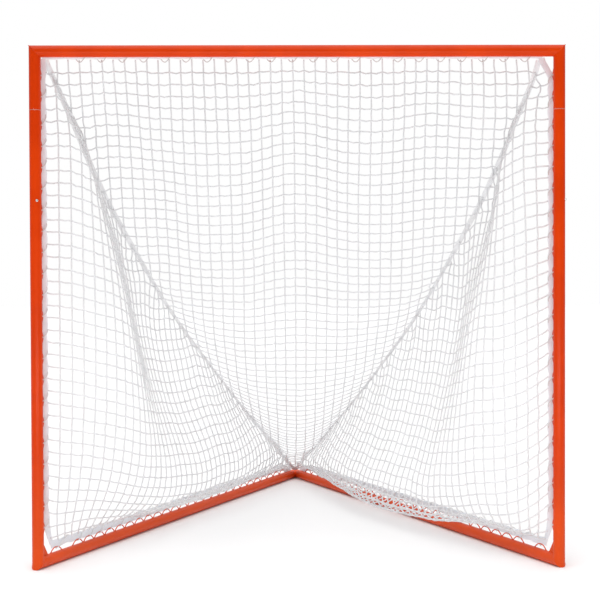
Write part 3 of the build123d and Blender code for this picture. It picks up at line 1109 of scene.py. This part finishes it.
runs = crests("crossbar_lacing_hoops", X, Y)
wire_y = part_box("crossbar_lacing_hoops")[1].y
centre = np.array([0.0, wire_y - 0.0010, (bar_z + 0.003 + bar_tape[0].z - 0.003) / 2])
laced(
    "crossbar_lacing",
    spiral(runs, centre, X, -Y, UP, 0.0062, (bar_z + 0.006 - bar_tape[0].z + 0.003) / 2),
    "crossbar_lacing_cord",
)
for name, s in SIDES.items():
    posts = crests(f"{name}_post_lacing_hoops", UP, rail_way[s])
    stubs = crests(f"{name}_stub_lacing_hoops", UP, rail_way[s])
    out = (vertices(f"{name}_post_lacing_hoops") @ rail_way[s]).max()
    out -= np.array([s * post_x, 0, 0]) @ rail_way[s]
    middle = np.array([s * post_x, 0, 0]) + rail_way[s] * (out + 0.0005)
    tape_middle = np.array([s * (post_tape[0].x + post_tape[1].x) / 2, post_tape[1].y - 0.001, 0])
    centre = middle * 0.5 + tape_middle * 0.5
    laced(
        f"{name}_post_lacing",
        spiral(posts + stubs, centre, UP, -rail_way[s], across_way[s], 0.0072, 0.0148),
    )
    runs = crests(f"{name}_rail_lacing_hoops", rail_way[s], UP)
    start = np.array([s * post_x, 0, 0]) @ rail_way[s]
    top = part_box(f"{name}_rail_lacing_hoops")[1].z
    foot = np.array([s * post_x, 0.0, 0.0])
    low, high = top - 0.0062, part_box(f"{name}_rail_hem_tape")[1].z + 0.0022
    centre = foot + UP * (low + high) / 2
    laced(
        f"{name}_rail_lacing",
        spiral(
            [r - start for r in runs], centre, rail_way[s], -UP, across_way[s],
            (high - low) / 2, 0.0056,
        ),
        f"{name}_rail_lacing_cord",
    )

for name, s in SIDES.items():
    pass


# ---------------------------------------------------------------- welds

def ring_points(place, count=72):
    """Points round a closed loop, whose place is given for each angle."""
    return [place(2 * math.pi * k / count) for k in range(count)]


def hoop_feet(node, along, outward, base):
    """Where both feet of each hoop of a row are welded to their tube."""
    feet = []
    for run in crests(node, along, outward):
        run -= base @ along
        for end in (-HOOP_HALF_SPAN, HOOP_HALF_SPAN):
            feet.append([base + along * (run + end) + outward * (tube_r + 0.0004)])
    return feet


for name, s in SIDES.items():
    corner = np.array([s * post_x, 0.0, bar_z])
    foot = np.array([s * post_x, 0.0, rail_z])
    way, across = rail_way[s], across_way[s]
    r = tube_r - 0.0002
    mitre = ring_points(lambda a: corner + r * (math.sin(a) * (X * s + UP) + math.cos(a) * Y))
    foot_mitre = ring_points(
        lambda a: foot + r * (math.cos(a) * across + math.sin(a) * (way + UP))
    )
    foot_mitre = [np.array([*p[:2], max(p[2], BEAD_R * 1.2)]) for p in foot_mitre]
    loops = path_mesh(f"{name}_tube_welds", [mitre, foot_mitre], loops=True)
    apply_tree(loops, weld_beads, Bead_Radius=BEAD_R, Ripple=0.0042, Seed=21, Finish=coat)
    gusset_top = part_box(f"{name}_foot_gusset")[1].z
    lines = []
    for face in (-1, 1):
        side_off = across * face * 0.0028
        inner = foot + way * (tube_r + 0.0012) + side_off
        lines.append([inner + UP * (gusset_top - 0.001 - rail_z), inner + UP * (tube_r + 0.0012)])
        base = foot + UP * (tube_r + 0.0008) + side_off
        lines.append([base + way * (tube_r + 0.001), base + way * (tube_r + 0.0365)])
    fillets = path_mesh(f"{name}_gusset_welds", lines)
    apply_tree(
        fillets, weld_beads, Bead_Radius=GUSSET_BEAD_R, Ripple=0.0038, Seed=23, Finish=coat
    )
    ground = foot * [1, 1, 0]
    feet = hoop_feet(f"{name}_post_lacing_hoops", UP, way, ground)
    feet += hoop_feet(f"{name}_stub_lacing_hoops", UP, way, ground)
    feet += hoop_feet(f"{name}_rail_lacing_hoops", way, UP, foot)
    blobs = path_mesh(f"{name}_hoop_welds", feet)
    apply_tree(blobs, knots, Knot_Radius=HOOP_BLOB_R, Seed=24, Finish=coat)
    welds = merged(f"{name}_welds", [loops, fillets, blobs])
    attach(welds, "goal")

blobs = path_mesh("crossbar_hoop_welds", hoop_feet("crossbar_lacing_hoops", X, Y, bar_z * UP))
apply_tree(blobs, knots, Knot_Radius=HOOP_BLOB_R, Seed=25, Finish=coat)
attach(blobs, "goal")


# ---------------------------------------------------------------- floor, light and camera

def plane(name, size):
    """A square of floor about the middle of the scene."""
    mesh = bpy.data.meshes.new(name)
    h = size / 2
    mesh.from_pydata([(-h, -h, 0), (h, -h, 0), (h, h, 0), (-h, h, 0)], [], [(0, 1, 2, 3)])
    return placed(name, mesh)


floor = plane("studio_floor", 80)
floor.data.materials.append(floor_finish())


def soft_light(name, place, target, size, watts):
    """A softbox that faces its target."""
    data = bpy.data.lights.new(name, "AREA")
    data.shape, data.size, data.size_y, data.energy = "RECTANGLE", size[0], size[1], watts
    lamp = placed(name, data)
    lamp.location = place
    lamp.rotation_euler = (Vector(target) - Vector(place)).to_track_quat("-Z", "Y").to_euler()


soft_light("front_softbox", (0.2, -1.9, 3.1), (0, 0.6, 0.9), (1.6, 1.0), 6)
soft_light("low_softbox", (0.0, -2.6, 0.45), (0, 1.4, 0.1), (3.0, 0.5), 19)
sun = bpy.data.lights.new("ceiling_light", "SUN")
sun.energy, sun.angle = 1.5, 1.1
lamp = placed("ceiling_light", sun)
lamp.rotation_euler = (math.radians(14), math.radians(-8), 0)

# The room is bright overhead and dimmer round the walls, behind a white backdrop
world = bpy.data.worlds.new("studio_air")
bpy.context.scene.world = world
world.use_nodes = True
air = next(n for n in world.node_tree.nodes if n.type == "BACKGROUND")
room = Wire(world.node_tree)
_, depth, height = room.node("ShaderNodeTexCoord", out="Generated").parts()
seen = room.node("ShaderNodeLightPath", out="Is Camera Ray")
walls = 0.10 + 0.55 * height.rise(-0.1, 1.0) + 0.55 * depth.rise(-0.3, 0.9)
strength = seen.maths("MAXIMUM", seen, walls)
wire_up(air, Color=(1.0, 1.0, 1.0, 1), Strength=strength)
bpy.context.scene.view_settings.view_transform = "Standard"

# The camera stands in front of the mouth, a little over a metre up, and looks slightly down
YAW, PITCH, ROLL = 0.0106, 0.0183, -0.0033
STAND = (-0.0437, -4.6852, 1.0477)
forward = Vector(
    (math.sin(YAW) * math.cos(PITCH), math.cos(YAW) * math.cos(PITCH), -math.sin(PITCH))
)
level = Vector((math.cos(YAW), -math.sin(YAW), 0))
above = level.cross(forward)
right = math.cos(ROLL) * level + math.sin(ROLL) * above
upward = -math.sin(ROLL) * level + math.cos(ROLL) * above
lens = bpy.data.cameras.new("camera")
lens.sensor_width, lens.lens = 36.0, 78.58
camera = placed("camera", lens)
camera.matrix_world = Matrix(
    [(right[k], upward[k], -forward[k], STAND[k]) for k in range(3)] + [(0, 0, 0, 1)]
)
bpy.context.scene.camera = camera
